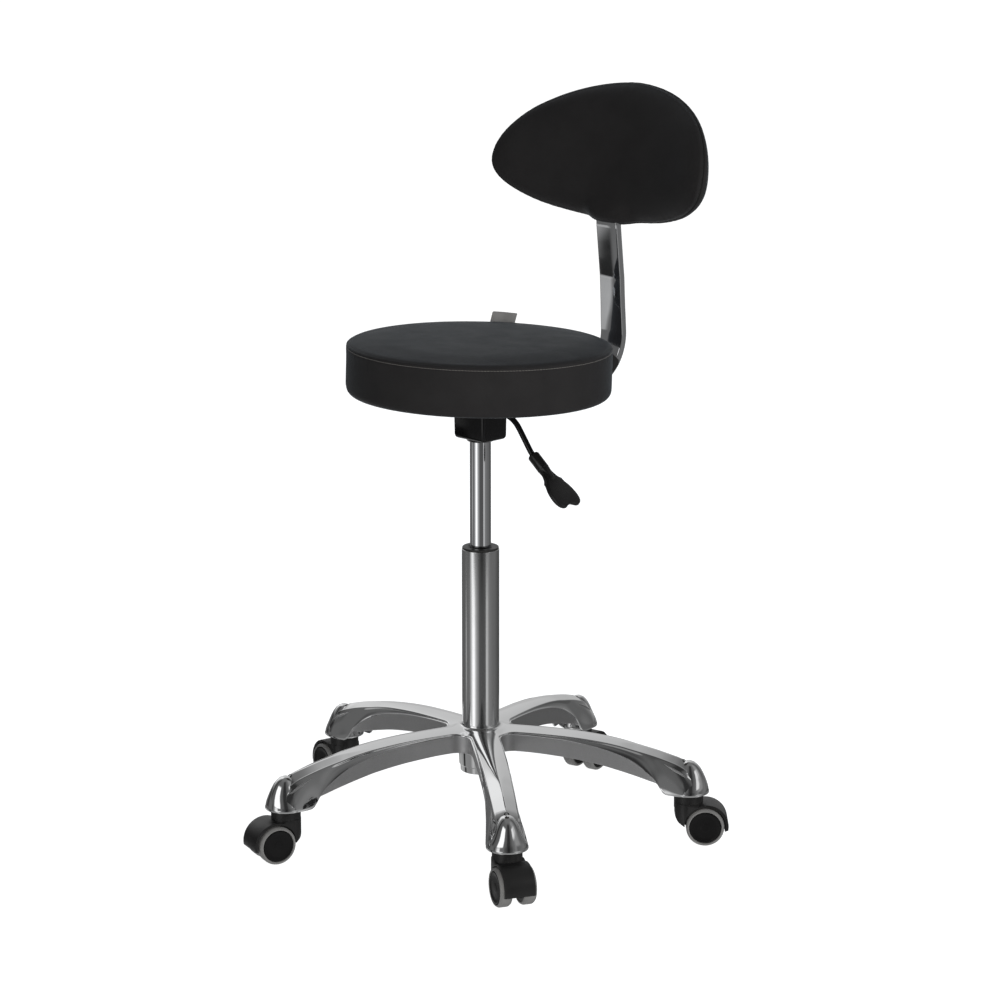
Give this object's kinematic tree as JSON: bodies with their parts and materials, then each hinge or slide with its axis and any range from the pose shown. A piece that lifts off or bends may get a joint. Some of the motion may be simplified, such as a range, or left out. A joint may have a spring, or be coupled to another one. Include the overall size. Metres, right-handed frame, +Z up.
{
  "type": "rolling stylist stool",
  "caption": "Low-backed salon stool: round padded seat and small curved backrest on a chromed flat bar, gas-lift column with a height lever, star base on twin-wheel casters.",
  "frame": {"origin": "middle of the overall footprint, on the floor under the wheels; the column's axis stands at x = +26.1 mm, y = -2.6 mm, because the casters rest turned different ways", "axes": "+Z up; the sitter faces -Y, the backrest is at +Y and the height lever is on the +X side"},
  "size_m": [0.6256, 0.6515, 0.9885],
  "materials": {
    "chrome": "mirror-bright chrome plate on steel tube and flat bar",
    "polished_base": "bright chrome plate over a smooth casting or pressing",
    "zinc_steel": "zinc-plated steel",
    "black_enamel": "glossy black enamel",
    "black_plastic": "black moulded nylon, fine satin grain",
    "grip_plastic": "black moulded plastic, half gloss",
    "grey_tread": "mid-grey polyurethane tread",
    "black_rubber": "black rubber, dull",
    "leatherette": "black leatherette, fine pebble grain, soft sheen",
    "foam": "open-cell upholstery foam",
    "plywood": "raw plywood"
  },
  "bodies": {
    "base": {"star_base": "polished_base", "outer_tube": "chrome", "guide_bush": "black_plastic", "thrust_bearing": "zinc_steel"},
    "spindle": {"piston_rod": "zinc_steel", "rod_clip": "zinc_steel"},
    "seat": {"pressure_cylinder": "chrome", "seat_plate": "black_enamel", "seat_board": "plywood", "seat_foam": "foam", "seat_cover": "leatherette", "back_bar": "chrome", "bar_bumper": "black_rubber", "plate_bolt_1": "zinc_steel", "plate_bolt_2": "zinc_steel", "bar_bolt_1": "zinc_steel", "bar_bolt_2": "zinc_steel", "pad_bolt_1": "zinc_steel", "pad_bolt_2": "zinc_steel", "back_board": "plywood", "back_foam": "foam", "back_cover": "leatherette"},
    "valve": {"valve_pin": "zinc_steel"},
    "lever": {"lever_rod": "black_enamel", "lever_grip": "grip_plastic"},
    "caster_1": {"caster_1_stem": "zinc_steel", "caster_1_hood": "black_plastic", "caster_1_axle": "zinc_steel"},
    "caster_1_left": {"caster_1_wheel_left": "black_plastic", "caster_1_tread_left": "grey_tread"},
    "caster_1_right": {"caster_1_wheel_right": "black_plastic", "caster_1_tread_right": "grey_tread"},
    "caster_2": {"caster_2_stem": "zinc_steel", "caster_2_hood": "black_plastic", "caster_2_axle": "zinc_steel"},
    "caster_2_left": {"caster_2_wheel_left": "black_plastic", "caster_2_tread_left": "grey_tread"},
    "caster_2_right": {"caster_2_wheel_right": "black_plastic", "caster_2_tread_right": "grey_tread"},
    "caster_3": {"caster_3_stem": "zinc_steel", "caster_3_hood": "black_plastic", "caster_3_axle": "zinc_steel"},
    "caster_3_left": {"caster_3_wheel_left": "black_plastic", "caster_3_tread_left": "grey_tread"},
    "caster_3_right": {"caster_3_wheel_right": "black_plastic", "caster_3_tread_right": "grey_tread"},
    "caster_4": {"caster_4_stem": "zinc_steel", "caster_4_hood": "black_plastic", "caster_4_axle": "zinc_steel"},
    "caster_4_left": {"caster_4_wheel_left": "black_plastic", "caster_4_tread_left": "grey_tread"},
    "caster_4_right": {"caster_4_wheel_right": "black_plastic", "caster_4_tread_right": "grey_tread"},
    "caster_5": {"caster_5_stem": "zinc_steel", "caster_5_hood": "black_plastic", "caster_5_axle": "zinc_steel"},
    "caster_5_left": {"caster_5_wheel_left": "black_plastic", "caster_5_tread_left": "grey_tread"},
    "caster_5_right": {"caster_5_wheel_right": "black_plastic", "caster_5_tread_right": "grey_tread"}
  },
  "joints": [
    {"name": "seat_swivel", "type": "hinge", "parent": "base", "child": "spindle", "pos_m": [0.0261, -0.00255, 0.2], "axis": [0, 0, 1], "continuous": true},
    {"name": "seat_lift", "type": "slide", "parent": "spindle", "child": "seat", "axis": [0, 0, 1], "range_m": [-0.14, 0]},
    {"name": "height_lever", "type": "hinge", "parent": "seat", "child": "lever", "pos_m": [0.0538, -0.00255, 0.5804], "axis": [0, -1, 0], "range_deg": [0, 6]},
    {"name": "valve_press", "type": "slide", "parent": "seat", "child": "valve", "axis": [0, 0, 1], "range_m": [-0.003, 0]},
    {"name": "caster_1_swivel", "type": "hinge", "parent": "base", "child": "caster_1", "pos_m": [0.24986, -0.17663, 0.06], "axis": [0, 0, 1], "continuous": true},
    {"name": "caster_1_left_spin", "type": "hinge", "parent": "caster_1", "child": "caster_1_left", "pos_m": [0.26936, -0.18615, 0.0256], "axis": [0.4384, 0.8988, 0], "continuous": true},
    {"name": "caster_1_right_spin", "type": "hinge", "parent": "caster_1", "child": "caster_1_right", "pos_m": [0.26936, -0.18615, 0.0256], "axis": [0.4384, 0.8988, 0], "continuous": true},
    {"name": "caster_2_swivel", "type": "hinge", "parent": "base", "child": "caster_2", "pos_m": [0.26081, 0.15646, 0.06], "axis": [0, 0, 1], "continuous": true},
    {"name": "caster_2_left_spin", "type": "hinge", "parent": "caster_2", "child": "caster_2_left", "pos_m": [0.27626, 0.1717, 0.0256], "axis": [-0.7022, 0.712, 0], "continuous": true},
    {"name": "caster_2_right_spin", "type": "hinge", "parent": "caster_2", "child": "caster_2_right", "pos_m": [0.27626, 0.1717, 0.0256], "axis": [-0.7022, 0.712, 0], "continuous": true},
    {"name": "caster_3_swivel", "type": "hinge", "parent": "base", "child": "caster_3", "pos_m": [-0.0526, 0.26981, 0.06], "axis": [0, 0, 1], "continuous": true},
    {"name": "caster_3_left_spin", "type": "hinge", "parent": "caster_3", "child": "caster_3_left", "pos_m": [-0.05711, 0.29103, 0.0256], "axis": [-0.9781, -0.2079, 0], "continuous": true},
    {"name": "caster_3_right_spin", "type": "hinge", "parent": "caster_3", "child": "caster_3_right", "pos_m": [-0.05711, 0.29103, 0.0256], "axis": [-0.9781, -0.2079, 0], "continuous": true},
    {"name": "caster_4_swivel", "type": "hinge", "parent": "base", "child": "caster_4", "pos_m": [-0.25725, 0.00677, 0.06], "axis": [0, 0, 1], "continuous": true},
    {"name": "caster_4_left_spin", "type": "hinge", "parent": "caster_4", "child": "caster_4_left", "pos_m": [-0.27864, 0.01038, 0.0256], "axis": [-0.1668, -0.986, 0], "continuous": true},
    {"name": "caster_4_right_spin", "type": "hinge", "parent": "caster_4", "child": "caster_4_right", "pos_m": [-0.27864, 0.01038, 0.0256], "axis": [-0.1668, -0.986, 0], "continuous": true},
    {"name": "caster_5_swivel", "type": "hinge", "parent": "base", "child": "caster_5", "pos_m": [-0.07032, -0.26915, 0.06], "axis": [0, 0, 1], "continuous": true},
    {"name": "caster_5_left_spin", "type": "hinge", "parent": "caster_5", "child": "caster_5_left", "pos_m": [-0.07681, -0.28986, 0.0256], "axis": [0.9542, -0.299, 0], "continuous": true},
    {"name": "caster_5_right_spin", "type": "hinge", "parent": "caster_5", "child": "caster_5_right", "pos_m": [-0.07681, -0.28986, 0.0256], "axis": [0.9542, -0.299, 0], "continuous": true}
  ],
  "couplings": [
    {"joint": "valve_press", "follows": "height_lever", "m_per_rad": -0.0277}
  ]
}
